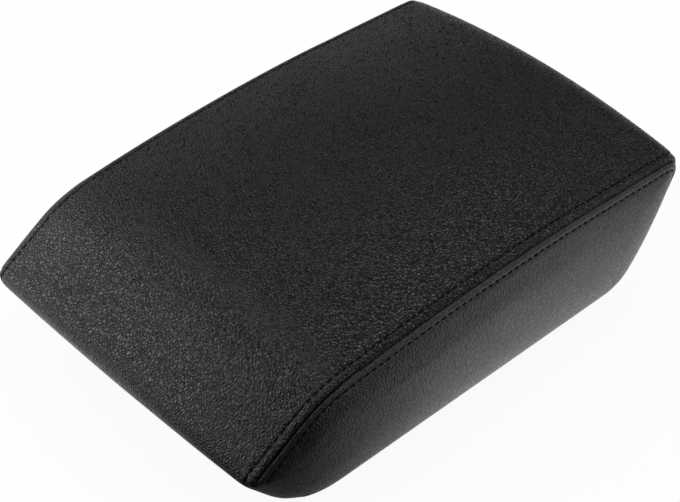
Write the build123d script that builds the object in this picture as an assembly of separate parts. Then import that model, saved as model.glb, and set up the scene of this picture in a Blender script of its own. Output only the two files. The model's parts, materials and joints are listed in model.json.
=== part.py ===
from build123d import *
import math
import os

# Car centre armrest: a leather-covered console lid on a rear hinge, with a finger latch in front.
# Millimetres. X runs across, the front points to -Y, Z is up from the console's top.
# The origin is the middle of the hinge base's four bolt holes, straight below the hinge pin.

# Pad: profile along the side seam. Runs go back from the front tip, heights up from the underside.
pad_length = 296.0
seam_half_width = 96.5
console_gap = 5.0
toe_run = 29.6
tip_height = 37.8
bend_run = 43.4
bend_height = 64.6
crest_run = 143.0
crest_height = 75.9
rear_height = 68.8
rear_overhang = 41.6
heel_setback = 19.3

# Pad: corner radii of that profile, the rounding along the seams, and the swell between them.
# The pull sets the flanks' front and rear ends in, which rounds the pad's corners seen from above.
toe_radius = 45.0
heel_radius = 22.0
rear_radius = 7.0
crest_radius = 900.0
bend_radius = 59.0
tip_radius = 3.0
least_radius = 1.2
edge_radius = 12.5
top_crown = 7.7
front_crown = 7.0
corner_pull = 4.0

# Cover: three leather panels, a groove at each seam and two rows of stitches beside it.
leather = 1.4
glue = 0.1
groove_width = 0.9
groove_depth = 0.7
seam_angle = 39.4
inner_row_angle = 22.5
outer_row_angle = 18.0
stitch_pitch = 4.5
stitch_length = 3.4
thread_width = 0.9
thread_height = 0.7
seam_end_height = 20.0

# Carrier: a moulded dish under the foam, with a flange that the cover's margin is glued to.
foam_wall = 14.0
side_foam = 18.0
undercut_foam = 6.0
carrier_corner = 4.0
carrier_wall = 2.5
flange_height = 3.0
flange_inset = 13.0
margin_room = 0.25
rib_thickness = 2.0
rib_half_spacing = 56.0
cross_rib_runs = (122.0, 178.0)
boss_radius = 4.2
pilot_radius = 1.45
pilot_depth = 18.0

# Inner panel: a flat liner that hides the cover's margin.
panel_thickness = 2.4
panel_side_inset = 12.0
panel_front_run = 55.0
panel_rear_setback = 36.0
panel_corner = 14.0
panel_chamfer = 0.8
margin_overlap = 8.5
plateau_clearance = 0.5

# Bumpers and screws of the inner panel.
bumper_radius = 6.0
bumper_stem_radius = 2.4
bumper_barb_radius = 3.3
bumper_tip_radius = 1.8
bumper_chamfer = 1.0
bumper_side_inset = 15.0
bumper_front_run = 74.0
bumper_rear_setback = 54.0
screw_radius = 1.75
screw_length = 14.0
screw_head_radius = 3.4
screw_head_height = 1.6
screw_tip = 2.5
screw_point_radius = 0.35
pan_flat_radius = 2.0
pan_dome_radius = 3.1
pan_dome_height = 1.0
pan_flat_height = 1.45
screw_side_inset = 14.0
panel_screw_front_run = 100.0
panel_screw_rear_setback = 80.0
front_screw_half_spacing = 42.0
front_screw_run = 76.0

# Finger latch: a lever on a pin between two lugs of the inner panel, in a recess under the front.
pivot_run = 74.0
pivot_height = 17.0
latch_pin_radius = 2.5
hub_radius = 5.5
hub_half_width = 22.0
lug_thickness = 4.0
lug_radius = 6.5
lug_gap = 0.5
tab_front_run = 32.0
tab_bottom = 4.0
tab_thickness = 2.5
tab_half_width = 18.0
tab_corner = 4.0
web_thickness = 3.0
web_nose_run = 46.0
hook_half_width = 6.0
hook_arm = 4.5
hook_reach = 3.0
hook_bottom = 1.8
hook_nose = 3.2
hook_lead = 1.4
striker_depth = 15.0
recess_half_width = 22.5
recess_front_run = 27.2
recess_top = 20.0
bezel_wall = 1.8
bezel_proud = 0.8
bezel_lip = 1.5
spring_run = 38.0
spring_radius = 4.0
spring_wire = 0.8
spring_turns = 4.5
spring_peg_radius = 2.2
spring_peg_height = 2.5
spring_cup_wall = 1.0
spring_cup_height = 1.5

# Hinge: a leaf with two rolled eyes on the lid, a U-shaped base with two ears, and one long pin.
hinge_sheet = 2.0
hinge_pin_radius = 2.5
bush_wall = 1.1
bush_flange = 0.8
bush_flange_radius = 5.0
leaf_half_width = 46.0
leaf_front_setback = 86.0
leaf_rear_setback = 30.0
leaf_corner = 6.0
eye_inner_x = 18.0
eye_width = 24.0
leaf_screw_half_spacing = 32.0
leaf_screw_setbacks = (50.0, 74.0)
countersink_radius = 3.6
ear_thickness = 3.0
ear_radius = 6.0
base_half_width = 58.0
base_half_depth = 18.0
base_corner = 6.0
base_rear_strip = 11.0
bolt_half_spacing_x = 51.5
bolt_half_spacing_y = 11.0
bolt_hole_radius = 2.75
pin_head_radius = 4.2
pin_head_height = 1.8
pin_tail = 2.2
clip_groove_radius = 1.9
clip_radius = 4.6
clip_thickness = 0.8

# Clearances.
running = 0.05
seat = 0.2
side_play = 0.2

# Places that follow from the sizes above.
front_side, back_side = -400.0, 400.0
heel_y = -heel_setback
rear_y = heel_y + rear_overhang
tip_y = rear_y - pad_length
base_z = console_gap
seam_rise = edge_radius * (1 - math.cos(math.radians(seam_angle)))
shoulder_x = seam_half_width - edge_radius * math.sin(math.radians(seam_angle))
profile = [
    (tip_y + toe_run, base_z + seam_rise),
    (heel_y, base_z + seam_rise),
    (rear_y, base_z + rear_height),
    (tip_y + crest_run, base_z + crest_height),
    (tip_y + bend_run, base_z + bend_height),
    (tip_y, base_z + tip_height),
]
corner_radii = [toe_radius, heel_radius, rear_radius, crest_radius, bend_radius, tip_radius]
crowns = [0.0, 0.0, top_crown, top_crown, front_crown, 0.0]
core_radii = [carrier_corner] * 3 + [crest_radius, bend_radius, carrier_corner]
crown_shares = (0.5, 0.9)
flank_angle = 90.0
edge_angles = (seam_angle, flank_angle)
end_sides = (False, True, False, False, False, True)

panel_half_width = seam_half_width - panel_side_inset
panel_top = base_z - seat
panel_bottom = panel_top - panel_thickness
panel_front_y = tip_y + panel_front_run
panel_rear_y = -panel_rear_setback
flange_bottom = base_z + leather + margin_room
flange_top = flange_bottom + flange_height
pivot_y = tip_y + pivot_run
recess_y = tip_y + recess_front_run
recess_ceiling = recess_top - bezel_wall
tab_top = tab_bottom + tab_thickness

leaf_bottom = panel_bottom - hinge_sheet
bush_bore = hinge_pin_radius + running
bush_radius = bush_bore + bush_wall
eye_bore = bush_radius + running
eye_radius = eye_bore + hinge_sheet
hinge_z = leaf_bottom + eye_radius
eye_outer_x = eye_inner_x + eye_width
ear_inner_x = eye_outer_x + bush_flange + side_play
ear_outer_x = ear_inner_x + ear_thickness


def inset_corners(insets):
    """Profile corners after each side is moved inwards by its own inset."""
    corners = []
    for i, here in enumerate(profile):
        before = profile[i - 1]
        after = profile[(i + 1) % len(profile)]
        u1 = Vector(here[0] - before[0], here[1] - before[1]).normalized()
        u2 = Vector(after[0] - here[0], after[1] - here[1]).normalized()
        turn = u1.X * u2.Y - u1.Y * u2.X
        step = (u2 * insets[i - 1] - u1 * insets[i]) / turn
        corners.append((here[0] + step.X, here[1] + step.Y))
    return corners


def inset_radii(insets):
    """Corner radii that keep each rounding concentric with the seam profile's own."""
    radii = []
    for i, radius in enumerate(corner_radii):
        mean = (insets[i - 1] + insets[i]) / 2
        radii.append(max(radius - mean, least_radius))
    return radii


def rounded_corners(x, insets, radii):
    """Start, corner and end of each rounding of the pad outline in the plane at x."""
    corners = [Vector(x, y, z) for y, z in inset_corners(insets)]
    rounds = []
    for i, here in enumerate(corners):
        back = (corners[i - 1] - here).normalized()
        ahead = (corners[(i + 1) % len(corners)] - here).normalized()
        half = math.radians(back.get_angle(ahead)) / 2
        reach = 2 * radii[i] * (1 - math.sin(half)) / (math.sin(half) * math.cos(half))
        rounds.append((here + back * reach, here, here + ahead * reach))
    return rounds


def outline(x, insets, radii):
    """Closed pad outline in the plane at x, with a soft curve at each corner."""
    rounds = rounded_corners(x, insets, radii)
    edges = []
    for i, (start, corner, end) in enumerate(rounds):
        edges += [Bezier(start, corner, end), Line(end, rounds[(i + 1) % len(rounds)][0])]
    return make_face(edges)


def edge_station(angle, skin):
    """Place across the width, and insets, at an angle of the rounding along the seam."""
    a = math.radians(angle)
    x = shoulder_x + (edge_radius - skin) * math.sin(a)
    inset = edge_radius * math.cos(math.radians(seam_angle)) - (edge_radius - skin) * math.cos(a)
    past_seam = max(angle - seam_angle, 0) / (flank_angle - seam_angle)
    return x, [inset + corner_pull * past_seam if end else inset for end in end_sides]


def crown_station(share, skin):
    """The same on the crowned top, at a share of the way from the middle to the shoulder."""
    flat = skin - seam_rise
    swell = 1 - share**2
    return shoulder_x * share, [flat - crown * swell for crown in crowns]


def pad(skin):
    """The whole upholstered body, moved inwards by skin: outlines lofted across the width."""
    right = [crown_station(share, skin) for share in crown_shares]
    right += [edge_station(angle, skin) for angle in edge_angles]
    left = [(-x, insets) for x, insets in reversed(right)]
    stations = left + [crown_station(0, skin)] + right
    return loft(sections=[outline(x, insets, inset_radii(insets)) for x, insets in stations])


def core(skin, half_width, under):
    """Straight-sided block inside the pad: its profile at an inset, from an underside height up."""
    insets = [skin - seam_rise] * len(profile)
    insets[0] = under - base_z - seam_rise
    insets[-1] += undercut_foam
    return extrude(outline(0, insets, core_radii), half_width, dir=(1, 0, 0), both=True)


def block(x0, x1, y0, y1, z0, z1):
    """Box between two corners."""
    return Pos((x0 + x1) / 2, (y0 + y1) / 2, (z0 + z1) / 2) * Box(x1 - x0, y1 - y0, z1 - z0)


def slab(half_x, y0, y1, z0, z1, corner):
    """Plate with rounded corners, centred across the width."""
    plan = RectangleRounded(2 * half_x, y1 - y0, corner)
    return Pos(0, (y0 + y1) / 2, z0) * extrude(plan, z1 - z0)


def rod(x0, x1, y, z, radius):
    """Cylinder along X."""
    return Pos((x0 + x1) / 2, y, z) * Rot(0, 90, 0) * Cylinder(radius, x1 - x0)


def post(x, y, z0, z1, radius):
    """Upright cylinder."""
    return Pos(x, y, (z0 + z1) / 2) * Cylinder(radius, z1 - z0)


def side_plate(x0, x1, face):
    """Plate across X from a face drawn in the YZ plane at x = 0."""
    return Pos(x0, 0, 0) * extrude(face, x1 - x0, dir=(1, 0, 0))


def side_face(*points):
    """Straight-sided face in the YZ plane, from (y, z) points."""
    return make_face(Polyline(*[(0, y, z) for y, z in points], close=True))


def recess(clearance):
    """Room for the latch under the pad's front edge, from the console up."""
    half = recess_half_width + clearance
    front = recess_y - clearance
    return block(-half, half, front, panel_front_y + margin_overlap, 0, recess_top + clearance)


def make_cover():
    """Leather shell with an open underside, cut into a top and two side panels at the seams."""
    shell = pad(0) - pad(leather)
    shell -= slab(
        panel_half_width - margin_overlap,
        panel_front_y + margin_overlap,
        panel_rear_y - margin_overlap,
        0,
        base_z + 2 * leather,
        panel_corner - margin_overlap / 2,
    )
    shell -= recess(seat)
    groove_floor = pad(groove_depth)
    far = seam_half_width + 2 * edge_radius
    high = base_z + 2 * crest_height
    right_groove = block(
        seam_half_width - groove_width / 2,
        seam_half_width + groove_width / 2,
        front_side,
        back_side,
        -high,
        high,
    )
    grooves = (right_groove - groove_floor) + (mirror(right_groove, Plane.YZ) - groove_floor)
    shell -= grooves
    middle = block(-seam_half_width, seam_half_width, front_side, back_side, -high, high)
    outside = block(seam_half_width, far, front_side, back_side, -high, high)
    return {
        "cover_top_panel": shell & middle,
        "cover_right_panel": shell & outside,
        "cover_left_panel": shell & mirror(outside, Plane.YZ),
    }


def stitch_row(body, side, angle):
    """Stitches beside a seam, on the body's own surface, at an angle of the edge rounding."""
    x = edge_station(angle, 0)[0] * side
    path = section(body, section_by=Plane.YZ.offset(x)).face().outer_wire()
    middle = path.center()
    a = math.radians(angle) * side
    half, low, taper = stitch_length / 2, thread_height / 2, thread_height
    lens = Polyline((-half, -low), (half, -low), (half - taper, low), (taper - half, low), close=True)
    stitch = extrude(make_face(lens), thread_width / 2, both=True)
    count = round(path.length / stitch_pitch)
    row = []
    for i in range(count):
        place = path @ (i / count)
        along = path % (i / count)
        out = Vector(1, 0, 0).cross(along)
        if out.dot(place - middle) < 0:
            along, out = -along, -out
        across = Vector(1, 0, 0) * math.cos(a) - out * math.sin(a)
        if place.Z > base_z + seam_end_height:
            row.append(Plane(place, x_dir=along, z_dir=across) * stitch)
    return Compound(children=row)


def make_stitches():
    """Two rows beside each seam."""
    body = pad(0)
    row_angles = {"inner": seam_angle - inner_row_angle, "outer": seam_angle + outer_row_angle}
    nodes = {}
    for hand, side in (("left", -1), ("right", 1)):
        for place, angle in row_angles.items():
            nodes[f"topstitch_{hand}_{place}"] = stitch_row(body, side, angle)
    return nodes


carrier_half_width = seam_half_width - side_foam
flange_half_width = seam_half_width - flange_inset
flange_front_y = panel_front_y - plateau_clearance
flange_rear_y = panel_rear_y + 2 * plateau_clearance
screw_places = [
    (side * half, y)
    for side in (-1, 1)
    for half, y in (
        (panel_half_width - screw_side_inset, tip_y + panel_screw_front_run),
        (panel_half_width - screw_side_inset, -panel_screw_rear_setback),
        (front_screw_half_spacing, tip_y + front_screw_run),
    )
]
leaf_screw_places = [
    (side * leaf_screw_half_spacing, -setback) for side in (-1, 1) for setback in leaf_screw_setbacks
]
bumper_places = {
    f"bumper_{row}_{hand}": (side * (panel_half_width - bumper_side_inset), y)
    for row, y in (("front", tip_y + bumper_front_run), ("rear", -bumper_rear_setback))
    for hand, side in (("left", -1), ("right", 1))
}


def flange(grow):
    """Flat rim around the carrier's mouth."""
    return slab(
        flange_half_width + grow,
        flange_front_y - grow,
        flange_rear_y + grow,
        flange_bottom - grow,
        flange_top + grow,
        panel_corner + grow,
    )


def make_foam():
    """Moulded foam between the cover and the carrier."""
    foam = pad(leather + glue)
    foam -= core(foam_wall - glue, carrier_half_width + glue, 0)
    foam -= flange(glue)
    foam -= block(
        -flange_half_width,
        flange_half_width,
        flange_front_y,
        flange_rear_y,
        0,
        flange_bottom,
    )
    foam -= recess(seat)
    return {"foam_pad": foam}


def make_carrier():
    """Dish with ribs and screw bosses, open below."""
    room = core(foam_wall + carrier_wall, carrier_half_width - carrier_wall, -base_z)
    solid = core(foam_wall, carrier_half_width, flange_bottom)
    ribs = []
    for side in (-1, 1):
        x = side * rib_half_spacing
        ribs.append(
            block(
                x - rib_thickness / 2, x + rib_thickness / 2, front_side, back_side, flange_top, back_side
            )
        )
    for run in cross_rib_runs:
        y = tip_y + run
        ribs.append(
            block(
                front_side, back_side, y - rib_thickness / 2, y + rib_thickness / 2, flange_top, back_side
            )
        )
    for x, y in screw_places + leaf_screw_places:
        ribs.append(post(x, y, flange_bottom, back_side, boss_radius))
    inside = room & solid
    carrier = (solid - room) + (flange(0) - room)
    for rib in ribs:
        carrier += rib & inside
    for x, y in screw_places + leaf_screw_places:
        carrier -= post(x, y, 0, flange_bottom + pilot_depth, pilot_radius)
    carrier -= recess(seat)
    return {"pad_carrier": carrier}


def make_inner_panel():
    """Liner with a raised middle, a notch for the latch, two pivot lugs and its holes."""
    panel = slab(panel_half_width, panel_front_y, panel_rear_y, panel_bottom, panel_top, panel_corner)
    panel = chamfer(panel.faces().sort_by(Axis.Z)[0].edges(), panel_chamfer)
    panel += slab(
        panel_half_width - margin_overlap - plateau_clearance,
        panel_front_y + margin_overlap + plateau_clearance,
        panel_rear_y - margin_overlap - plateau_clearance,
        panel_top,
        flange_bottom - glue,
        panel_corner - margin_overlap / 2,
    )
    lug_x = hub_half_width + lug_gap
    lug_foot = side_face(
        (pivot_y - lug_radius, panel_bottom),
        (pivot_y + lug_radius, panel_bottom),
        (pivot_y + lug_radius, pivot_height),
        (pivot_y - lug_radius, pivot_height),
    )
    for x0 in (lug_x, -lug_x - lug_thickness):
        panel += side_plate(x0, x0 + lug_thickness, lug_foot)
        panel += rod(x0, x0 + lug_thickness, pivot_y, pivot_height, lug_radius)
    notch_end = pivot_y + hook_reach + striker_depth
    panel -= block(-lug_x, lug_x, front_side, notch_end, 0, flange_bottom)
    far = lug_x + 2 * lug_thickness
    panel -= rod(-far, far, pivot_y, pivot_height, latch_pin_radius + running)
    for x, y in screw_places + leaf_screw_places:
        panel -= post(x, y, 0, flange_bottom, screw_radius + seat)
    for x, y in bumper_places.values():
        panel -= post(x, y, 0, flange_bottom, bumper_stem_radius + seat / 2)
    return {"inner_panel": panel}


def make_bumpers():
    """Rubber buttons on barbed stems: the lid's feet on the console."""
    top = flange_bottom - glue
    half_profile = Polyline(
        (0, 0),
        (bumper_radius - bumper_chamfer, 0),
        (bumper_radius, bumper_chamfer),
        (bumper_radius, panel_bottom),
        (bumper_stem_radius, panel_bottom),
        (bumper_stem_radius, top),
        (bumper_barb_radius, top),
        (bumper_tip_radius, top + bumper_barb_radius),
        (0, top + bumper_barb_radius),
        close=True,
    )
    button = revolve(Plane.XZ * make_face(half_profile), Axis.Z)
    return {name: Pos(x, y, 0) * button for name, (x, y) in bumper_places.items()}


def screw(head, under_head):
    """Self-tapping screw, point up: a head profile, then the shank above its seat."""
    top = under_head + screw_length
    shank = [
        (screw_radius, under_head),
        (screw_radius, top - screw_tip),
        (screw_point_radius, top),
        (0, top),
    ]
    return revolve(Plane.XZ * make_face(Polyline(*head, *shank, close=True)), Axis.Z)


def make_screws():
    """Pan heads hold the inner panel, countersunk heads the hinge leaf."""
    low = panel_bottom - screw_head_height
    pan = [
        (0, low),
        (pan_flat_radius, panel_bottom - pan_flat_height),
        (pan_dome_radius, panel_bottom - pan_dome_height),
        (screw_head_radius, panel_bottom),
    ]
    sink = countersink_radius - screw_radius
    flat = [(0, leaf_bottom), (countersink_radius, leaf_bottom)]
    panel_screw = screw(pan, panel_bottom)
    leaf_screw = screw(flat, leaf_bottom + sink)
    return {
        "inner_panel_screws": Compound(children=[Pos(x, y, 0) * panel_screw for x, y in screw_places]),
        "hinge_leaf_screws": Compound(children=[Pos(x, y, 0) * leaf_screw for x, y in leaf_screw_places]),
    }


def make_latch():
    """Bezel in the recess, lever with finger tab and hook, its pin and its return spring."""
    inner_half = recess_half_width - bezel_wall
    bezel = recess(0) - block(
        -inner_half, inner_half, recess_y + bezel_wall, back_side, -base_z, recess_ceiling
    )
    spring_y = tip_y + spring_run
    cup_bore = spring_radius + spring_wire
    cup_foot = recess_ceiling - spring_cup_height
    bezel += post(0, spring_y, cup_foot, recess_top, cup_bore + spring_cup_wall)
    bezel -= post(0, spring_y, 0, recess_ceiling, cup_bore)
    bezel &= pad(-bezel_proud)
    bezel -= core(foam_wall + carrier_wall + bezel_lip, 2 * recess_half_width, -base_z)

    lever = rod(-hub_half_width, hub_half_width, pivot_y, pivot_height, hub_radius)
    hook_front = pivot_y - hook_arm / 2
    tab_rear = hook_front + hook_arm
    lever += slab(tab_half_width, tip_y + tab_front_run, tab_rear, tab_bottom, tab_top, tab_corner)
    nose_edge = Pos(tip_y + web_nose_run, tab_top) * Circle(tab_thickness / 2)
    hub_edge = Pos(pivot_y, pivot_height) * Circle(hub_radius)
    web = Plane.YZ * make_hull(nose_edge.edges() + hub_edge.edges())
    for x0 in (tab_half_width - web_thickness, -tab_half_width):
        lever += side_plate(x0, x0 + web_thickness, web)
    hook = side_face(
        (hook_front, pivot_height),
        (hook_front, hook_bottom),
        (tab_rear, hook_bottom),
        (tab_rear + hook_reach, hook_bottom + hook_lead),
        (tab_rear + hook_reach, hook_bottom + hook_nose),
        (tab_rear, hook_bottom + hook_nose),
        (tab_rear, pivot_height),
    )
    lever += side_plate(-hook_half_width, hook_half_width, hook)
    lever += post(0, spring_y, tab_top, tab_top + spring_peg_height, spring_peg_radius)
    far = 2 * hub_half_width
    lever -= rod(-far, far, pivot_y, pivot_height, latch_pin_radius + running)

    pin_end = hub_half_width + lug_gap + lug_thickness
    pin = rod(-pin_end, pin_end, pivot_y, pivot_height, latch_pin_radius)
    pin += rod(pin_end, pin_end + hinge_sheet, pivot_y, pivot_height, hub_radius - lug_gap)

    low = tab_top + running + spring_wire / 2
    high = recess_ceiling - running - spring_wire / 2
    coil = Helix(pitch=(high - low) / spring_turns, height=high - low, radius=spring_radius)
    wire = Plane(coil @ 0, z_dir=coil % 0) * Circle(spring_wire / 2)
    spring = Pos(0, spring_y, low) * sweep(wire, path=coil, is_frenet=True)
    return {"latch_bezel": bezel, "latch_lever": lever, "latch_pin": pin, "latch_spring": spring}


def make_hinge():
    """Leaf on the lid, bushes, U-shaped base, pin and its retaining clip."""
    leaf = slab(
        leaf_half_width, -leaf_front_setback, -leaf_rear_setback, leaf_bottom, panel_bottom, leaf_corner
    )
    base = slab(base_half_width, -base_half_depth, base_half_depth, 0, hinge_sheet, base_corner)
    base -= block(
        -ear_inner_x, ear_inner_x, -2 * base_half_depth, base_half_depth - base_rear_strip, 0, back_side
    )
    ear_foot = side_face((-ear_radius, 0), (ear_radius, 0), (ear_radius, hinge_z), (-ear_radius, hinge_z))
    nodes = {}
    for hand, side in (("left", -1), ("right", 1)):
        x0, x1 = sorted((side * eye_inner_x, side * eye_outer_x))
        leaf += block(x0, x1, -leaf_rear_setback - leaf_corner, 0, leaf_bottom, panel_bottom)
        leaf += rod(x0, x1, 0, hinge_z, eye_radius)
        leaf -= rod(x0, x1, 0, hinge_z, eye_bore)
        f0, f1 = sorted((side * eye_outer_x, side * (eye_outer_x + bush_flange)))
        bush = rod(x0, x1, 0, hinge_z, bush_radius) + rod(f0, f1, 0, hinge_z, bush_flange_radius)
        nodes[f"hinge_bush_{hand}"] = bush - rod(-ear_outer_x, ear_outer_x, 0, hinge_z, bush_bore)
        e0, e1 = sorted((side * ear_inner_x, side * ear_outer_x))
        base += side_plate(e0, e1, ear_foot) + rod(e0, e1, 0, hinge_z, ear_radius)
        base -= rod(e0, e1, 0, hinge_z, bush_bore)
    for x, y in leaf_screw_places:
        sink = countersink_radius - screw_radius
        hole = post(x, y, 0, base_z, screw_radius + running)
        cone = Cone(countersink_radius + running, screw_radius + running, sink)
        leaf -= hole + Pos(x, y, leaf_bottom + sink / 2) * cone
    for x in (-bolt_half_spacing_x, bolt_half_spacing_x):
        for y in (-bolt_half_spacing_y, bolt_half_spacing_y):
            base -= post(x, y, -hinge_sheet, 2 * hinge_sheet, bolt_hole_radius)

    clip_x = ear_outer_x + running
    pin_end = clip_x + clip_thickness + pin_tail
    pin = rod(-pin_end, ear_outer_x, 0, hinge_z, hinge_pin_radius)
    pin += rod(ear_outer_x, ear_outer_x + pin_head_height, 0, hinge_z, pin_head_radius)
    groove = rod(-clip_x - clip_thickness - running, -ear_outer_x, 0, hinge_z, 2 * hinge_pin_radius)
    groove -= rod(-pin_end, 0, 0, hinge_z, clip_groove_radius)
    clip = rod(-clip_x - clip_thickness, -clip_x, 0, hinge_z, clip_radius)
    clip -= rod(-pin_end, 0, 0, hinge_z, clip_groove_radius + running)
    clip -= block(-pin_end, 0, -clip_groove_radius, clip_groove_radius, 0, hinge_z)
    nodes["hinge_leaf"] = leaf
    nodes["hinge_base"] = base
    nodes["hinge_pin"] = pin - groove
    nodes["hinge_pin_clip"] = clip
    return nodes


makers = (
    make_cover,
    make_stitches,
    make_foam,
    make_carrier,
    make_inner_panel,
    make_bumpers,
    make_screws,
    make_latch,
    make_hinge,
)
os.makedirs("parts", exist_ok=True)
for maker in makers:
    for name, shape in maker().items():
        export_step(shape, f"parts/{name}.step")
        print(name, round(shape.volume, 1), flush=True)
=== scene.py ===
import json
import math
import bmesh
import bpy
from mathutils import Matrix, Vector

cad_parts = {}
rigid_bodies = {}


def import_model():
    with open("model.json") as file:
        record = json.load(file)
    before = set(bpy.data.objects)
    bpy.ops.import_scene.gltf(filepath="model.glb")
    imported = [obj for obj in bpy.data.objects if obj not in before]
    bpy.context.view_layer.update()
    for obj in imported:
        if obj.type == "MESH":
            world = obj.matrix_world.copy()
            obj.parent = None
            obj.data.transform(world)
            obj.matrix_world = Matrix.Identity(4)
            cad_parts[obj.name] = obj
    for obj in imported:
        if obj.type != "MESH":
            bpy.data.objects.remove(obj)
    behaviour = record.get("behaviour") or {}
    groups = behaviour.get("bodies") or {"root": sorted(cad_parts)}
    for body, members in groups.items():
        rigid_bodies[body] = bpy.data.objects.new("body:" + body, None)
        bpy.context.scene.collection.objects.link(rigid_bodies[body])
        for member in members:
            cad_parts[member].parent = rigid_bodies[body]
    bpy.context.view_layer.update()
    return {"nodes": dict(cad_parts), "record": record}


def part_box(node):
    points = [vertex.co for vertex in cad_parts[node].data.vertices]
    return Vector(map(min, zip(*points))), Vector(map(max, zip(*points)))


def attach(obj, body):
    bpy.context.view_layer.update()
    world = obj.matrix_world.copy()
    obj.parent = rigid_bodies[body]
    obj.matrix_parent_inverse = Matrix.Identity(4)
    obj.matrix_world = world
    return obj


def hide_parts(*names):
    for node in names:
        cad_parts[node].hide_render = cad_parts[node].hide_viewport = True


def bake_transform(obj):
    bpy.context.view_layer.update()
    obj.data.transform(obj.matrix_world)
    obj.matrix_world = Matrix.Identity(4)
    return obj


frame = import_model()
nodes = frame["nodes"]
print("frame loaded,", len(nodes), "nodes")

mm = 0.001


class Wire:  # a shader socket that can be used in plain maths
    def __init__(self, tree, socket=None):
        self.tree = tree
        self.socket = socket

    def node(self, kind, settings=None, inputs=None, out=0):
        made = self.tree.nodes.new(kind)
        for key, value in (settings or {}).items():
            setattr(made, key, value)
        for key, value in (inputs or {}).items():
            if isinstance(value, Wire):
                self.tree.links.new(value.socket, made.inputs[key])
            else:
                made.inputs[key].default_value = value
        return Wire(self.tree, made.outputs[out])

    def maths(self, operation, a, b):
        return self.node("ShaderNodeMath", {"operation": operation}, {0: a, 1: b})

    def __add__(self, other):
        return self.maths("ADD", self, other)

    def __radd__(self, other):
        return self.maths("ADD", other, self)

    def __sub__(self, other):
        return self.maths("SUBTRACT", self, other)

    def __rsub__(self, other):
        return self.maths("SUBTRACT", other, self)

    def __mul__(self, other):
        return self.maths("MULTIPLY", self, other)

    def __rmul__(self, other):
        return self.maths("MULTIPLY", other, self)

    def step(self, low, high):  # smooth rise from 0 at low to 1 at high
        smooth = {"interpolation_type": "SMOOTHSTEP"}
        return self.node("ShaderNodeMapRange", smooth, {0: self, 1: low, 2: high})

    def mix(self, a, b):  # colour a where this is 0, b where it is 1
        return self.node("ShaderNodeMix", {"data_type": "RGBA"}, {0: self, 6: a, 7: b}, 2)


def startFinish(name, constants):  # new material, its first wire and its surface shader
    made = bpy.data.materials.new(name)
    made.use_nodes = True
    shader = made.node_tree.nodes["Principled BSDF"]
    for key, value in constants.items():
        shader.inputs[key].default_value = value
    return made, Wire(made.node_tree), shader


def plug(wire, shader, socket):
    wire.tree.links.new(wire.socket, shader.inputs[socket])


def spot(wire, stretch=(1.0, 1.0, 1.0)):  # object coordinates in millimetres, squeezed along the axes
    place = wire.node("ShaderNodeTexCoord", out=3)
    scale = [s / mm for s in stretch]
    return wire.node("ShaderNodeMapping", None, {"Vector": place, "Scale": scale})


def cells(wire, place, size):  # distance to the nearest cell border, in cells
    return wire.node(
        "ShaderNodeTexVoronoi", {"feature": "DISTANCE_TO_EDGE"}, {"Vector": place, "Scale": 1.0 / size}
    )


def cloud(wire, place, size, detail=3.0, out=0):  # soft noise
    return wire.node(
        "ShaderNodeTexNoise", None, {"Vector": place, "Scale": 1.0 / size, "Detail": detail}, out
    )


def warp(wire, place, size, amount):  # the place pushed about by soft noise
    push = wire.node("ShaderNodeVectorMath", {"operation": "SUBTRACT"},
                     {0: cloud(wire, place, size, 2.0, 1), 1: (0.5, 0.5, 0.5)})
    push = wire.node("ShaderNodeVectorMath", {"operation": "SCALE"}, {0: push, "Scale": amount})
    return wire.node("ShaderNodeVectorMath", {"operation": "ADD"}, {0: place, 1: push})


def bump(wire, height, depth):  # depth in millimetres
    relief = {"Height": height, "Distance": depth * mm, "Strength": 1.0}
    return wire.node("ShaderNodeBump", None, relief)


middleTones = (0.3, 0.7)  # where soft noise goes from the dark colour to the light one

# Leather: sizes in millimetres, wrinkles and creases as shares of a pebble; each panel's look follows.
# How much painted shade goes into the creases, and how far up the grain it reaches, are set here and in each
# look.
leather = {
    "warpSize": 3.5, "warpAmount": 2.2, "wrinkleSize": 0.5, "wrinkleShare": 0.3,
    "creaseLow": -0.06, "creaseHigh": 0.3, "shine": 0.6, "shadeUpTo": 0.8,
    "dappleSize": 30.0, "dappleRough": 0.1, "creaseRough": 0.1,
}
# In each look the crease colour is painted shade: the base colour goes darker in the creases of the grain.
topLook = {
    "pebble": 1.5, "depth": 0.32, "stretch": (0.85, 1.2, 1.0), "rough": 0.33, "paintedShade": 0.74,
    "slope": (-238.0, -205.0), "slopeStretch": (1.25, 0.75, 0.75), "slopeShade": 0.4,
    "top": (0.006, 0.006, 0.0061, 1), "creaseShade": (0.001, 0.001, 0.001, 1),
}
sideLook = {
    "pebble": 1.6, "depth": 0.14, "stretch": (1.3, 1.3, 0.5), "rough": 0.36, "paintedShade": 0.2, "slope": None,
    "top": (0.006, 0.006, 0.0061, 1), "creaseShade": (0.002, 0.002, 0.002, 1),
}


def pebbles(wire, stretch, size):  # height of a field of soft pebbles with fine wrinkles on them
    place = warp(wire, spot(wire, stretch), leather["warpSize"], leather["warpAmount"])
    wrinkle = cloud(wire, place, size * leather["wrinkleSize"], 2.0) - 0.5
    height = cells(wire, place, size) + wrinkle * leather["wrinkleShare"]
    return height.step(leather["creaseLow"], leather["creaseHigh"])


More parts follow.
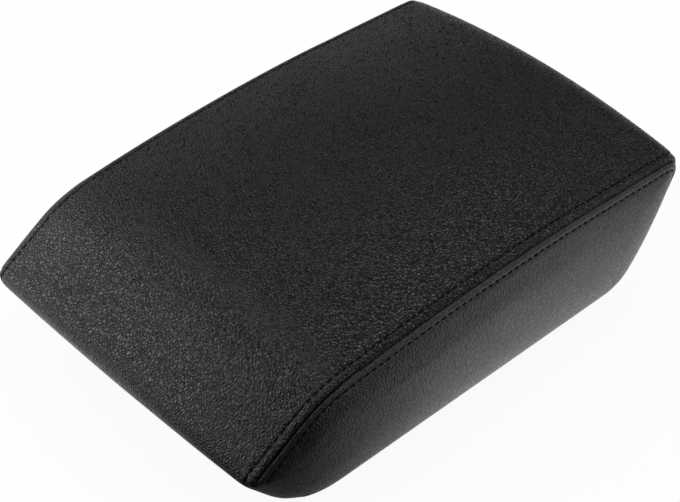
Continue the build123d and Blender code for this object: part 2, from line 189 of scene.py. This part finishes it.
def leatherFinish(name, look):
    made, wire, shader = startFinish(name, {"Specular IOR Level": leather["shine"]})
    grain = pebbles(wire, look["stretch"], look["pebble"])
    paintedShade = look["paintedShade"]
    if look["slope"]:  # the pebbles lie the other way on the front slope
        onTop = wire.node("ShaderNodeSeparateXYZ", None, {0: spot(wire)}, 1).step(*look["slope"])
        grain = grain * onTop + pebbles(wire, look["slopeStretch"], look["pebble"]) * (1.0 - onTop)
        paintedShade = look["slopeShade"] + onTop * (paintedShade - look["slopeShade"])
    dapple = cloud(wire, spot(wire), leather["dappleSize"]) - 0.5
    rough = look["rough"] + dapple * leather["dappleRough"] + (1.0 - grain) * leather["creaseRough"]
    # painted shade: the base colour is darker in the creases, where the grain is low
    plug(grain.mix(look["creaseShade"], look["top"]), shader, "Base Color")
    plug(rough, shader, "Roughness")
    plug(bump(wire, grain, look["depth"]), shader, "Normal")
    # painted shade: a dark matte shader mixed in over the creases
    dark = wire.node("ShaderNodeBsdfDiffuse", None, {"Color": look["creaseShade"]})
    paintedShade = (1.0 - grain.step(0.0, leather["shadeUpTo"])) * paintedShade  # painted shade in the creases, where the grain is low
    both = wire.node("ShaderNodeMixShader", None, {0: paintedShade, 1: Wire(wire.tree, shader.outputs[0]), 2: dark})
    plug(both, wire.tree.nodes["Material Output"], "Surface")
    return made


def threadFinish():
    look = {
        "light": (0.006, 0.006, 0.006, 1), "dark": (0.001, 0.001, 0.001, 1), "shine": 0.12,
        "twists": 9.0, "plies": 2.0, "plyShadeTones": (0.1, 0.8), "depth": 0.12, "rough": 0.9, "plyRough": 0.2,
    }
    made, wire, shader = startFinish("blackThread", {"Specular IOR Level": look["shine"]})
    flat = wire.node("ShaderNodeUVMap", {"uv_map": "UVMap"})
    around = wire.node("ShaderNodeSeparateXYZ", None, {0: flat}, 0)
    up = wire.node("ShaderNodeSeparateXYZ", None, {0: flat}, 1)
    ply = wire.maths("PINGPONG", around * look["plies"] + up * look["twists"], 0.5) * 2.0
    # painted shade: the thread is darker in the grooves between its plies, where the ply bump is low
    plug(ply.step(*look["plyShadeTones"]).mix(look["dark"], look["light"]), shader, "Base Color")
    plug(look["rough"] - ply * look["plyRough"], shader, "Roughness")
    plug(bump(wire, ply, look["depth"]), shader, "Normal")
    return made


linerLook = {"colour": (0.026, 0.026, 0.027), "rough": 0.56, "grain": 0.45, "depth": 0.07}
latchLook = {"colour": (0.034, 0.034, 0.035), "rough": 0.42, "grain": 0.3, "depth": 0.03}


def mouldedFinish(name, look):  # spark-eroded moulding grain
    shared = {
        "shine": 0.45, "broad": 22.0, "broadShare": 0.6, "darker": 0.8, "lighter": 1.2,
        "grainRough": 0.2, "broadRough": 0.08,
    }
    made, wire, shader = startFinish(name, {"Specular IOR Level": shared["shine"]})
    grain = cloud(wire, spot(wire), look["grain"], 4.0)
    broad = cloud(wire, spot(wire), shared["broad"], 2.0)
    dark = [shared["darker"] * c for c in look["colour"]] + [1]
    light = [shared["lighter"] * c for c in look["colour"]] + [1]
    rough = look["rough"] + (grain - 0.5) * shared["grainRough"] + (broad - 0.5) * shared["broadRough"]
    tone = broad * shared["broadShare"] + grain * (1 - shared["broadShare"])
    plug(tone.step(*middleTones).mix(dark, light), shader, "Base Color")
    plug(rough, shader, "Roughness")
    plug(bump(wire, grain, look["depth"]), shader, "Normal")
    return made


def rubberFinish():
    look = {
        "bare": (0.014, 0.014, 0.014, 1), "dusty": (0.034, 0.034, 0.033, 1), "shine": 0.3,
        "dust": 3.0, "dustTones": (0.35, 0.75), "grain": 0.3, "depth": 0.05,
        "rough": 0.88, "dustRough": 0.15,
    }
    made, wire, shader = startFinish("bumperRubber", {"Specular IOR Level": look["shine"]})
    dust = cloud(wire, spot(wire), look["dust"], 5.0)
    plug(dust.step(*look["dustTones"]).mix(look["bare"], look["dusty"]), shader, "Base Color")
    plug(look["rough"] - dust * look["dustRough"], shader, "Roughness")
    plug(bump(wire, cloud(wire, spot(wire), look["grain"], 3.0), look["depth"]), shader, "Normal")
    return made


blackZincLook = {"dark": (0.05, 0.05, 0.054, 1), "light": (0.1, 0.1, 0.105, 1), "rough": 0.38}
brightZincLook = {"dark": (0.5, 0.5, 0.52, 1), "light": (0.72, 0.72, 0.74, 1), "rough": 0.3}


def metalFinish(name, look):  # plated steel with fine drawing marks and soft blotches
    shared = {
        "streak": 0.35, "drawn": (0.15, 1.0, 1.0), "blotch": 6.0, "depth": 0.02,
        "blotchRough": 0.16, "streakRough": 0.12,
    }
    made, wire, shader = startFinish(name, {"Metallic": 1.0})
    streaks = cloud(wire, spot(wire, shared["drawn"]), shared["streak"], 3.0)
    blotch = cloud(wire, spot(wire), shared["blotch"], 3.0)
    tone = (streaks * 0.5 + blotch * 0.5).step(*middleTones)
    rough = look["rough"] + (blotch - 0.5) * shared["blotchRough"] + (streaks - 0.5) * shared["streakRough"]
    plug(tone.mix(look["dark"], look["light"]), shader, "Base Color")
    plug(rough, shader, "Roughness")
    plug(bump(wire, streaks, shared["depth"]), shader, "Normal")
    return made


def coatedFinish():  # black dip coat on pressed sheet, with a slight orange peel
    look = {
        "dark": (0.016, 0.016, 0.018, 1), "light": (0.034, 0.034, 0.037, 1), "shine": 0.5,
        "peel": 1.4, "broad": 14.0, "depth": 0.06, "rough": 0.4, "broadRough": 0.15,
    }
    made, wire, shader = startFinish("hingeCoat", {"Specular IOR Level": look["shine"]})
    broad = cloud(wire, spot(wire), look["broad"], 3.0)
    plug(broad.step(*middleTones).mix(look["dark"], look["light"]), shader, "Base Color")
    plug(look["rough"] + (broad - 0.5) * look["broadRough"], shader, "Roughness")
    plug(bump(wire, cloud(wire, spot(wire), look["peel"], 2.0), look["depth"]), shader, "Normal")
    return made


def nylonFinish():
    look = {
        "dark": (0.56, 0.54, 0.48, 1), "light": (0.7, 0.68, 0.62, 1), "shine": 0.45,
        "grain": 0.5, "broad": 5.0, "depth": 0.02, "rough": 0.42, "broadRough": 0.15,
    }
    made, wire, shader = startFinish("bushNylon", {"Specular IOR Level": look["shine"]})
    broad = cloud(wire, spot(wire), look["broad"], 3.0)
    plug(broad.step(*middleTones).mix(look["dark"], look["light"]), shader, "Base Color")
    plug(look["rough"] + (broad - 0.5) * look["broadRough"], shader, "Roughness")
    plug(bump(wire, cloud(wire, spot(wire), look["grain"], 2.0), look["depth"]), shader, "Normal")
    return made


def foamFinish():
    look = {
        "poreShade": (0.012, 0.012, 0.012, 1), "foam": (0.05, 0.05, 0.048, 1), "shine": 0.2,
        "cell": 0.7, "cellWall": (0.0, 0.35), "cellShare": 0.7, "broad": 9.0, "depth": 0.3,
        "rough": 0.97, "cellRough": 0.1,
    }
    made, wire, shader = startFinish("mouldedFoam", {"Specular IOR Level": look["shine"]})
    cell = cells(wire, spot(wire), look["cell"]).step(*look["cellWall"])
    broad = cloud(wire, spot(wire), look["broad"])
    tone = cell * look["cellShare"] + broad * (1 - look["cellShare"])
    # painted shade: the foam is darker along the cell borders, where the cell bump is low
    plug(tone.mix(look["poreShade"], look["foam"]), shader, "Base Color")
    plug(look["rough"] - cell * look["cellRough"], shader, "Roughness")
    plug(bump(wire, cell, look["depth"]), shader, "Normal")
    return made


finishes = {
    "cover_leather": leatherFinish("coverLeatherTop", topLook),
    "stitch_thread": threadFinish(),
    "foam": foamFinish(),
    "moulded_plastic": mouldedFinish("mouldedLiner", linerLook),
    "latch_plastic": mouldedFinish("latchMoulding", latchLook),
    "bumper_rubber": rubberFinish(),
    "screw_steel": metalFinish("blackZinc", blackZincLook),
    "plain_steel": metalFinish("brightZinc", brightZincLook),
    "hinge_steel": coatedFinish(),
    "bush_plastic": nylonFinish(),
}
sideLeather = leatherFinish("coverLeatherSide", sideLook)
for part in frame["record"]["subparts"]:
    skin = nodes[part["node"]].data.materials
    skin.clear()
    skin.append(finishes[part["material_slot"]])
print("finishes made:", len(finishes))

# Upholstered pad: the outline along the side seam, from the front tip, in metres and degrees.
pad = {
    "tipY": -0.2737, "length": 0.296, "underside": 0.005, "seamHalfWidth": 0.0965, "seamAngle": 39.4,
    "toeRun": 0.0296, "tipHeight": 0.0378, "bendRun": 0.0434, "bendHeight": 0.0646,
    "crestRun": 0.143, "crestHeight": 0.0759, "rearHeight": 0.0688, "heelY": -0.0193,
    "edgeRadius": 0.0125, "topCrown": 0.0077, "frontCrown": 0.007, "sideBulge": 0.0026,
    "radii": (0.045, 0.022, 0.007, 0.9, 0.059, 0.003), "leastRadius": 0.0012,
    "arcSteps": (8, 7, 8, 12, 9, 4), "spacing": 0.0097,
    "crownShares": (0.0, 0.12, 0.24, 0.36, 0.48, 0.6, 0.72, 0.83, 0.92),
    "capInsets": (0.003, 0.006, 0.009), "capRise": 0.001, "capGrid": 0.011,
    "cornerPull": 0.004, "pullPower": 1.5, "endSides": (1, 5),
    "crownPowers": (2.0, 2.0, 2.0, 2.0, 3.0, 2.0), "flankReach": 0.05,
    "leastCuts": 3, "leather": 0.0012,
}
edgeAngles = (0.0, 20.0, pad["seamAngle"], 65.0, 90.0)  # round the edge from the top to the flank
seamTurn = math.radians(pad["seamAngle"])
seamRise = pad["edgeRadius"] * (1 - math.cos(seamTurn))
shoulderX = pad["seamHalfWidth"] - pad["edgeRadius"] * math.sin(seamTurn)
profile = [
    (pad["tipY"] + pad["toeRun"], pad["underside"] + seamRise),
    (pad["heelY"], pad["underside"] + seamRise),
    (pad["tipY"] + pad["length"], pad["underside"] + pad["rearHeight"]),
    (pad["tipY"] + pad["crestRun"], pad["underside"] + pad["crestHeight"]),
    (pad["tipY"] + pad["bendRun"], pad["underside"] + pad["bendHeight"]),
    (pad["tipY"], pad["underside"] + pad["tipHeight"]),
]
sideCount = len(profile)
crowns = (0.0, 0.0, pad["topCrown"], pad["topCrown"], pad["frontCrown"], 0.0)
same, thin = 1e-6, 1e-7  # metres, within which points count as one


def ringCorners(insets):  # the outline's corners with each side moved inwards by its own inset
    corners = []
    for i, here in enumerate(profile):
        back = (Vector(here) - Vector(profile[i - 1])).normalized()
        ahead = (Vector(profile[(i + 1) % sideCount]) - Vector(here)).normalized()
        turn = back.x * ahead.y - back.y * ahead.x
        corners.append(Vector(here) + (ahead * insets[i - 1] - back * insets[i]) / turn)
    return corners


def addRing(bm, x, insets, cuts):  # one closed outline at x, its corners rounded, as a face
    corners = ringCorners(insets)
    verts = [bm.verts.new((x, c.x, c.y)) for c in corners]
    bm.faces.new(verts)
    for i, vert in enumerate(verts):
        mean = (insets[i - 1] + insets[i]) / 2
        radius = max(pad["radii"][i] - mean, pad["leastRadius"])
        half = (corners[i - 1] - corners[i]).angle(corners[(i + 1) % sideCount] - corners[i]) / 2
        bmesh.ops.bevel(
            bm, geom=[vert], affect="VERTICES", offset=radius / math.tan(half), offset_type="OFFSET",
            segments=pad["arcSteps"][i], profile=0.5, material=-1,
        )
    face = [f for f in bm.faces if all(abs(v.co.x - x) < thin for v in f.verts)][0]
    for i, start in enumerate(corners):
        end = corners[(i + 1) % sideCount]
        straight = [e for e in face.edges if all(sideDistance(v.co, start, end) < same for v in e.verts)]
        bmesh.ops.subdivide_edges(bm, edges=straight, cuts=cuts[i])
    return face


def sideDistance(point, start, end):  # how far a point lies off one side of the outline
    along = (end - start).normalized()
    off = Vector((point.y, point.z)) - start
    return abs(off.x * along.y - off.y * along.x)


def crownStation(share):
    powers = pad["crownPowers"]
    return shoulderX * share, [-seamRise - c * (1 - share**power) for c, power in zip(crowns, powers)]


def edgeStation(angle):
    a = math.radians(angle)
    inset = pad["edgeRadius"] * (math.cos(seamTurn) - math.cos(a))
    past = max((angle - pad["seamAngle"]) / (edgeAngles[-1] - pad["seamAngle"]), 0.0)
    pull = pad["cornerPull"] * past ** pad["pullPower"]
    insets = [inset + pull if i in pad["endSides"] else inset for i in range(sideCount)]
    return shoulderX + pad["edgeRadius"] * math.sin(a), insets


def makePadMesh():  # right half ring by ring, bridged and mirrored
    bm = bmesh.new()
    sides = [(Vector(profile[(i + 1) % sideCount]) - Vector(profile[i])).length for i in range(sideCount)]
    cuts = [max(pad["leastCuts"], round(side / pad["spacing"])) for side in sides]
    stations = [crownStation(s) for s in pad["crownShares"]] + [edgeStation(a) for a in edgeAngles]
    lastX, lastInsets = stations[-1]
    for more in pad["capInsets"]:
        stations.append((lastX + more * pad["capRise"], [i + more for i in lastInsets]))
    before = None
    for x, insets in stations:
        face = addRing(bm, x, insets, cuts)
        edges = list(face.edges)
        if x < stations[-1][0]:
            bmesh.ops.delete(bm, geom=[face], context="FACES_ONLY")
        if before:
            bmesh.ops.bridge_loops(bm, edges=before + edges)
        before = edges
    gridCap(bm, stations[-1][0])
    for vert in bm.verts:
        vert.co.x += flankShape(vert.co, lastX)
    bmesh.ops.mirror(bm, geom=bm.verts[:] + bm.edges[:] + bm.faces[:], axis="X", merge_dist=same)
    bmesh.ops.remove_doubles(bm, verts=bm.verts[:], dist=same)
    bmesh.ops.recalc_face_normals(bm, faces=bm.faces[:])
    return bm


def rise(value, low, high):  # 0 at low, 1 at high, smooth between
    share = min(max((value - low) / (high - low), 0.0), 1.0)
    return share * share * (3 - 2 * share)


def gridCap(bm, x):  # cuts the flat middle of a flank into small faces that can swell
    step = pad["capGrid"]
    across = [((0, 0, i * step), (0, 0, 1)) for i in range(1, math.ceil(pad["crestHeight"] / step))]
    along = [((0, pad["tipY"] + i * step, 0), (0, 1, 0)) for i in range(1, math.ceil(pad["length"] / step))]
    for place, way in across + along:
        cap = [f for f in bm.faces if min(v.co.x for v in f.verts) > x - same]
        rim = list({e for f in cap for e in f.edges}) + list({v for f in cap for v in f.verts})
        bmesh.ops.bisect_plane(bm, geom=cap + rim, dist=same, plane_co=place, plane_no=way)


def flankShape(co, flankX):  # the flanks swell between their edges
    share = rise(co.x, shoulderX, flankX)
    up = min(max((co.z - pad["underside"]) / pad["bendHeight"], 0.0), 1.0)
    along = rise(co.y, pad["tipY"], pad["tipY"] + pad["flankReach"])
    return share * pad["sideBulge"] * 4 * up * (1 - up) * along


def meshPiece(name, bm, finish):
    mesh = bpy.data.meshes.new(name)
    bm.to_mesh(mesh)
    bm.free()
    for face in mesh.polygons:
        face.use_smooth = True
    mesh.materials.append(finish)
    piece = bpy.data.objects.new(name, mesh)
    bpy.context.scene.collection.objects.link(piece)
    return piece


def applyModifiers(piece):  # the piece's shape as its modifiers leave it
    shown = bpy.context.evaluated_depsgraph_get()
    mesh = bpy.data.meshes.new_from_object(piece.evaluated_get(shown))
    piece.modifiers.clear()
    piece.data = mesh


body = meshPiece("padBody", makePadMesh(), finishes["cover_leather"])
smooth = body.modifiers.new("smooth", "SUBSURF")
smooth.levels = smooth.render_levels = 1
applyModifiers(body)
print("pad body:", len(body.data.polygons), "faces")

# Sewn seam: distances along the surface from the seam line, in metres; the inner row is on the top panel.
seam = {
    "innerRow": 0.0049, "outerRow": 0.0039, "groove": 0.0013, "grooveWidth": 0.0004,
    "puff": 0.0004, "puffWidth": 0.0014, "channel": 0.0005, "channelWidth": 0.0006,
    "grooveLoops": (0.0, 0.0002, 0.0004, 0.0007, 0.0012, 0.0019, 0.0026),
    "rowLoops": (0.0, 0.0003, 0.0006, 0.001, 0.0016), "fadeLow": 0.006, "fadeHigh": 0.016,
    "frontLow": -0.2, "frontHigh": 0.15,
}


def seamX(distance):  # how far out the surface is at a distance past the seam
    a = seamTurn + distance / pad["edgeRadius"]
    if a < 0:
        return shoulderX + a * pad["edgeRadius"]
    return shoulderX + pad["edgeRadius"] * math.sin(a)


def seamDistance(x):  # the same the other way round
    out = (abs(x) - shoulderX) / pad["edgeRadius"]
    a = out if out < 0 else math.asin(min(out, 1.0))
    return (a - seamTurn) * pad["edgeRadius"]


def bell(distance, width):
    return math.exp(-((distance / width) ** 2))


def seamShape(distance):  # height of the sewn edge above the smooth pad
    row = seam["innerRow"] if distance < 0 else seam["outerRow"]
    away = abs(distance)
    height = -seam["groove"] * bell(away, seam["grooveWidth"])
    height += seam["puff"] * bell(away - row / 2, seam["puffWidth"])
    return height - seam["channel"] * bell(away - row, seam["channelWidth"])


def seamLoops():  # where the skin is cut along a seam, from the top panel outwards
    loops = {sign * d for d in seam["grooveLoops"] for sign in (-1, 1)}
    for row in (-seam["innerRow"], seam["outerRow"]):
        loops |= {row + sign * d for d in seam["rowLoops"] for sign in (-1, 1)}
    return sorted(loops)


def seamFade(vert):  # the seam flattens out where the front edge turns under
    if vert.co.y > pad["tipY"] + pad["toeRun"]:
        return 1.0
    return rise(vert.normal.z, seam["frontLow"], seam["frontHigh"])


def sewSeams(bm):  # loops along both seams, moved in and out; returns the rows for the stitches
    rows = {}
    names = {-seam["innerRow"]: "inner", seam["outerRow"]: "outer"}
    for hand, side in (("left", -1), ("right", 1)):
        for loop in seamLoops():
            cut = bmesh.ops.bisect_plane(
                bm, geom=bm.verts[:] + bm.edges[:] + bm.faces[:], dist=thin,
                plane_co=(side * seamX(loop), 0, 0), plane_no=(side, 0, 0),
            )
            if loop in names:
                line = [v for v in cut["geom_cut"] if isinstance(v, bmesh.types.BMVert)]
                rows[hand + "_" + names[loop]] = line
    for face in bm.faces:  # 0 top panel, 1 left, 2 right
        x = face.calc_center_median().x
        face.material_index = 0 if abs(x) < pad["seamHalfWidth"] else 1 if x < 0 else 2
    bm.normal_update()
    farIn, farOut = seamLoops()[0], seamLoops()[-1]
    moves = []
    for vert in bm.verts:
        distance = seamDistance(vert.co.x)
        if farIn <= distance <= farOut:
            fade = rise(vert.co.z, seam["fadeLow"], seam["fadeHigh"]) * seamFade(vert)
            moves.append((vert, vert.normal * seamShape(distance) * fade))
    for vert, move in moves:
        vert.co += move
    bm.normal_update()
    return rows


# Underside: the margin that is turned under, and the cut-out for the finger latch.
panelLow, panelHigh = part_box("inner_panel")
bezelLow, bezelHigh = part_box("latch_bezel")
under = {"margin": 0.0085, "bezelGap": 0.0002, "flatness": 0.004, "recessRun": 0.027, "overlap": 0.001}


def openUnderside(bm):
    left, right = panelLow.x + under["margin"], panelHigh.x - under["margin"]
    front, rear = panelLow.y + under["margin"], panelHigh.y - under["margin"]
    cutAway(bm, left, right, front, rear, pad["underside"] + under["flatness"])
    recessFront = pad["tipY"] + under["recessRun"]
    gap = under["bezelGap"]
    cutAway(bm, bezelLow.x - gap, bezelHigh.x + gap, recessFront, front + under["overlap"], bezelHigh.z)


def cutAway(bm, left, right, front, rear, top):  # removes the skin inside a box that is open below
    for place, way in (((left, 0, 0), (1, 0, 0)), ((right, 0, 0), (1, 0, 0)),
                       ((0, front, 0), (0, 1, 0)), ((0, rear, 0), (0, 1, 0))):
        near = [f for f in bm.faces if min(v.co.z for v in f.verts) < top]
        geom = list({v for f in near for v in f.verts}) + list({e for f in near for e in f.edges}) + near
        bmesh.ops.bisect_plane(bm, geom=geom, dist=thin, plane_co=place, plane_no=way)
    gone = []
    for face in bm.faces:
        middle = face.calc_center_median()
        inside = left < middle.x < right and front < middle.y < rear
        if inside and middle.z < top:
            gone.append(face)
    bmesh.ops.delete(bm, geom=gone, context="FACES")


def orderedLine(verts):  # walks along a cut loop
    left = set(verts)
    line = [max(verts, key=lambda v: v.co.z)]
    left.discard(line[0])
    while True:
        after = [e.other_vert(line[-1]) for e in line[-1].link_edges if e.other_vert(line[-1]) in left]
        if not after:
            break
        line.append(after[0])
        left.discard(after[0])
    return line


# The cover swells a little between its sewn and glued edges, because the foam pushes it out.
swell = {
    "pressure": 4.0, "frames": 14, "quality": 6, "most": 0.0014, "heldBeside": 0.0045, "heldBelow": 0.004,
    "evenings": 6,
}


def swellCover(piece):
    held = piece.vertex_groups.new(name="held")
    beside, below = swell["heldBeside"], pad["underside"] + swell["heldBelow"]
    fixed = [v.index for v in piece.data.vertices if abs(seamDistance(v.co.x)) < beside or v.co.z < below]
    held.add(fixed, 1.0, "REPLACE")
    before = [v.co.copy() for v in piece.data.vertices]
    cloth = piece.modifiers.new("blow", "CLOTH")
    cloth.settings.quality = swell["quality"]
    cloth.settings.vertex_group_mass = "held"
    cloth.settings.use_pressure = True
    cloth.settings.uniform_pressure_force = swell["pressure"]
    cloth.settings.effector_weights.gravity = 0.0
    cloth.point_cache.frame_end = swell["frames"]
    for number in range(1, swell["frames"] + 1):
        bpy.context.scene.frame_set(number)
    applyModifiers(piece)
    bpy.context.scene.frame_set(1)
    moves = [v.co - start for v, start in zip(piece.data.vertices, before)]
    near = [[] for _ in before]
    for edge in piece.data.edges:
        first, second = edge.vertices
        near[first].append(second)
        near[second].append(first)
    still = set(fixed)
    for _ in range(swell["evenings"]):  # takes small puckers out
        moves = [move if i in still else sum((moves[k] for k in near[i]), move) / (len(near[i]) + 1)
                 for i, move in enumerate(moves)]
    for vert, start, move in zip(piece.data.vertices, before, moves):
        vert.co = start + move * min(1.0, swell["most"] / max(move.length, thin))
    print("cover swelled by up to", round(max(m.length for m in moves) / mm, 2), "mm before the cap")


swellCover(body)
skinMesh = bmesh.new()
skinMesh.from_mesh(body.data)
rows = sewSeams(skinMesh)
lines = {}
for name, verts in rows.items():
    lines[name] = [(v.co.copy(), v.normal.copy()) for v in orderedLine(verts)]
openUnderside(skinMesh)
bpy.data.objects.remove(body)
print("seams sewn, rows of", [len(line) for line in lines.values()], "points")


def takePanel(name, covered, finish, index):  # one leather panel out of the whole skin
    bm = skinMesh.copy()
    bmesh.ops.delete(bm, geom=[f for f in bm.faces if f.material_index != index], context="FACES")
    for face in bm.faces:
        face.material_index = 0
    piece = meshPiece(name, bm, finish)
    wall = piece.modifiers.new("wall", "SOLIDIFY")
    wall.thickness = pad["leather"]
    wall.offset = -1.0
    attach(piece, "lid")
    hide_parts(*covered)
    print(name, len(piece.data.polygons), "faces")


takePanel("leatherTop", ("cover_top_panel", "foam_pad"), finishes["cover_leather"], 0)
takePanel("leatherLeft", ("cover_left_panel",), sideLeather, 1)
takePanel("leatherRight", ("cover_right_panel",), sideLeather, 2)
skinMesh.free()

stitch = {
    "pitch": 0.0045, "length": 0.0035, "width": 0.0011, "height": 0.0008, "bend": 90.0,
    "lift": 0.00005, "slant": 4.0, "endHeight": 0.025, "endTurn": 0.12, "around": 8, "along": 6,
}


def alongLine(line, distance):  # place, direction and normal at a distance along a row
    for (a, na), (b, nb) in zip(line, line[1:] + line[:1]):
        span = (b - a).length
        if distance <= span:
            share = distance / span
            return a.lerp(b, share), (b - a).normalized(), na.lerp(nb, share).normalized()
        distance -= span
    return None


def sewRow(name, line):
    bm = bmesh.new()
    total = sum((b[0] - a[0]).length for a, b in zip(line, line[1:] + line[:1]))
    count = round(total / stitch["pitch"])
    shape = Matrix.Diagonal((stitch["length"] / 2, stitch["width"] / 2, stitch["height"] / 2, 1))
    lay = Matrix.Rotation(math.radians(90), 4, "Y")
    for i in range(count):
        found = alongLine(line, total * i / count)
        if not found or found[0].z < stitch["endHeight"]:
            continue
        place, along, out = found
        if place.y < pad["tipY"] + pad["toeRun"] and out.z < stitch["endTurn"]:
            continue
        across = out.cross(along).normalized()
        made = bmesh.ops.create_uvsphere(
            bm, u_segments=stitch["around"], v_segments=stitch["along"], radius=1.0, matrix=shape @ lay,
            calc_uvs=True,
        )["verts"]
        for v in made:
            v.co.z -= stitch["bend"] * v.co.x**2
        basis = Matrix((along, across, along.cross(across))).transposed().to_4x4()
        turn = Matrix.Rotation(math.radians(stitch["slant"]), 4, "Z")
        bmesh.ops.transform(
            bm, matrix=Matrix.Translation(place + out * stitch["lift"]) @ basis @ turn, verts=made
        )
    piece = meshPiece(name, bm, finishes["stitch_thread"])
    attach(piece, "lid")
    return piece


for name, line in lines.items():
    hand, row = name.split("_")
    piece = sewRow("threadRow" + hand.title() + row.title(), line)
    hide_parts("topstitch_" + name)
print("stitches sewn")

# The latch's coil: a loose copy of its part in the same place, with the part hidden.
coil = bpy.data.objects.new("latchCoil", nodes["latch_spring"].data.copy())
bpy.context.scene.collection.objects.link(coil)
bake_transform(coil)
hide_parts("latch_spring")
print("latch coil set")

# Stage: pale floor, plain soft light, camera at the photograph's angle.
studio = {
    "photoWidth": 680, "photoFocal": 2002.0, "photoShift": (-27.93, -22.57), "roll": 1.165,
    "azimuth": 45.598, "elevation": 41.023, "distance": 1.0371, "aim": (0.0, -0.1095, 0.0379),
    "sensor": 36.0, "sight": 50.0, "floorSize": 6.0, "floorWhite": 0.9, "floorRough": 0.9, "floorGlow": 0.93,
    "floorGloss": 1.3, "paintedFloorShade": 0.05, "floorShadeFade": (-395.0, -215.0),
    "worldLight": 0.4, "roomGloss": 0.08, "darkFrom": 0.3, "darkTo": 0.85,
}
softboxes = {  # place, what it points at, width and height, level
    "slopeBox": ((-1.12, -0.97, 0.75), (0, -0.245, 0.06), (1.4, 1.4), 3.4),
    "topBox": ((0.0, 0.5, 1.4), (0, -0.1, 0.08), (1.0, 1.0), 2.3),
    "rightBox": ((1.05, 0.75, 0.85), (0, -0.1, 0.06), (1.2, 1.1), 1.4),
}


def photoSide():  # the way from the object to the camera
    a, e = math.radians(studio["azimuth"]), math.radians(studio["elevation"])
    return Vector((math.sin(a) * math.cos(e), -math.cos(a) * math.cos(e), math.sin(e)))


def addCamera():
    lens = bpy.data.cameras.new("photoCamera")
    lens.sensor_width = studio["sensor"]
    lens.lens = studio["photoFocal"] / studio["photoWidth"] * lens.sensor_width
    lens.shift_x = studio["photoShift"][0] / studio["photoWidth"]
    lens.shift_y = studio["photoShift"][1] / studio["photoWidth"]
    lens.clip_end = studio["sight"]
    camera = bpy.data.objects.new("photoCamera", lens)
    camera.location = Vector(studio["aim"]) + photoSide() * studio["distance"]
    turn = (Vector(studio["aim"]) - camera.location).to_track_quat("-Z", "Y")
    roll = Matrix.Rotation(math.radians(studio["roll"]), 3, "Z").to_quaternion()
    camera.rotation_euler = (turn @ roll).to_euler()
    bpy.context.scene.collection.objects.link(camera)
    bpy.context.scene.camera = camera


def addSoftbox(name, place, target, size, level):  # the level is about the box's own brightness
    lamp = bpy.data.lights.new(name, "AREA")
    lamp.shape = "RECTANGLE"
    lamp.size, lamp.size_y = size
    lamp.energy = level * math.pi * size[0] * size[1]
    box = bpy.data.objects.new(name, lamp)
    box.location = place
    box.rotation_euler = (Vector(target) - Vector(place)).to_track_quat("-Z", "Y").to_euler()
    bpy.context.scene.collection.objects.link(box)


def rays(wire, *kinds):  # 1 for rays of these kinds, 0 for the rest
    found = wire.node("ShaderNodeLightPath").socket.node.outputs
    total = Wire(wire.tree, found[kinds[0]])
    for kind in kinds[1:]:
        total = wire.maths("MAXIMUM", total, Wire(wire.tree, found[kind]))
    return total


def addFloor():
    bm = bmesh.new()
    bmesh.ops.create_grid(bm, x_segments=1, y_segments=1, size=studio["floorSize"] / 2)
    white = studio["floorWhite"]
    plain = {"Base Color": (white, white, white, 1), "Roughness": studio["floorRough"]}
    paper, wire, shader = startFinish("paleFloor", plain)
    across = wire.node("ShaderNodeSeparateXYZ", None, {0: spot(wire)}, 0)
    along = wire.node("ShaderNodeSeparateXYZ", None, {0: spot(wire)}, 1)
    # painted shade on the floor that only reflections see: dim towards the front right and bright towards
    # the back, so the leather's flanks reflect less light at the front
    back = (along - across).step(*studio["floorShadeFade"])
    mirrored = studio["paintedFloorShade"] + back * (studio["floorGloss"] - studio["paintedFloorShade"])
    gloss = rays(wire, "Is Glossy Ray", "Is Transmission Ray")  # the floor as the leather mirrors it
    glow = wire.node("ShaderNodeEmission", None, {"Color": 1.0 - gloss * (1.0 - mirrored), "Strength": 1.0})
    seen = wire.maths("MAXIMUM", rays(wire, "Is Camera Ray") * studio["floorGlow"], gloss)
    both = wire.node("ShaderNodeMixShader", None, {0: seen, 1: Wire(wire.tree, shader.outputs[0]), 2: glow})
    plug(both, wire.tree.nodes["Material Output"], "Surface")
    meshPiece("floor", bm, paper)


def addWorld():  # white to the camera, a soft dim room to everything else
    world = bpy.data.worlds.new("studioWorld")
    world.use_nodes = True
    bpy.context.scene.world = world
    tree = world.node_tree
    wire = Wire(tree)
    way = wire.node("ShaderNodeTexCoord")
    toDark = wire.node("ShaderNodeVectorMath", {"operation": "DOT_PRODUCT"},
                       {0: way, 1: photoSide()}, 1)
    room = studio["roomGloss"] * (1.0 - toDark.step(studio["darkFrom"], studio["darkTo"]))
    gloss = rays(wire, "Is Glossy Ray")
    level = studio["worldLight"] * (1.0 - gloss) + room * gloss
    level = wire.maths("MAXIMUM", level, rays(wire, "Is Camera Ray", "Is Transmission Ray"))
    plug(level, tree.nodes["Background"], "Strength")
    tree.nodes["Background"].inputs["Color"].default_value = (1, 1, 1, 1)


addCamera()
addFloor()
addWorld()
for name, facts in softboxes.items():
    addSoftbox(name, *facts)
bpy.context.scene.view_settings.view_transform = "Standard"
print("stage set")
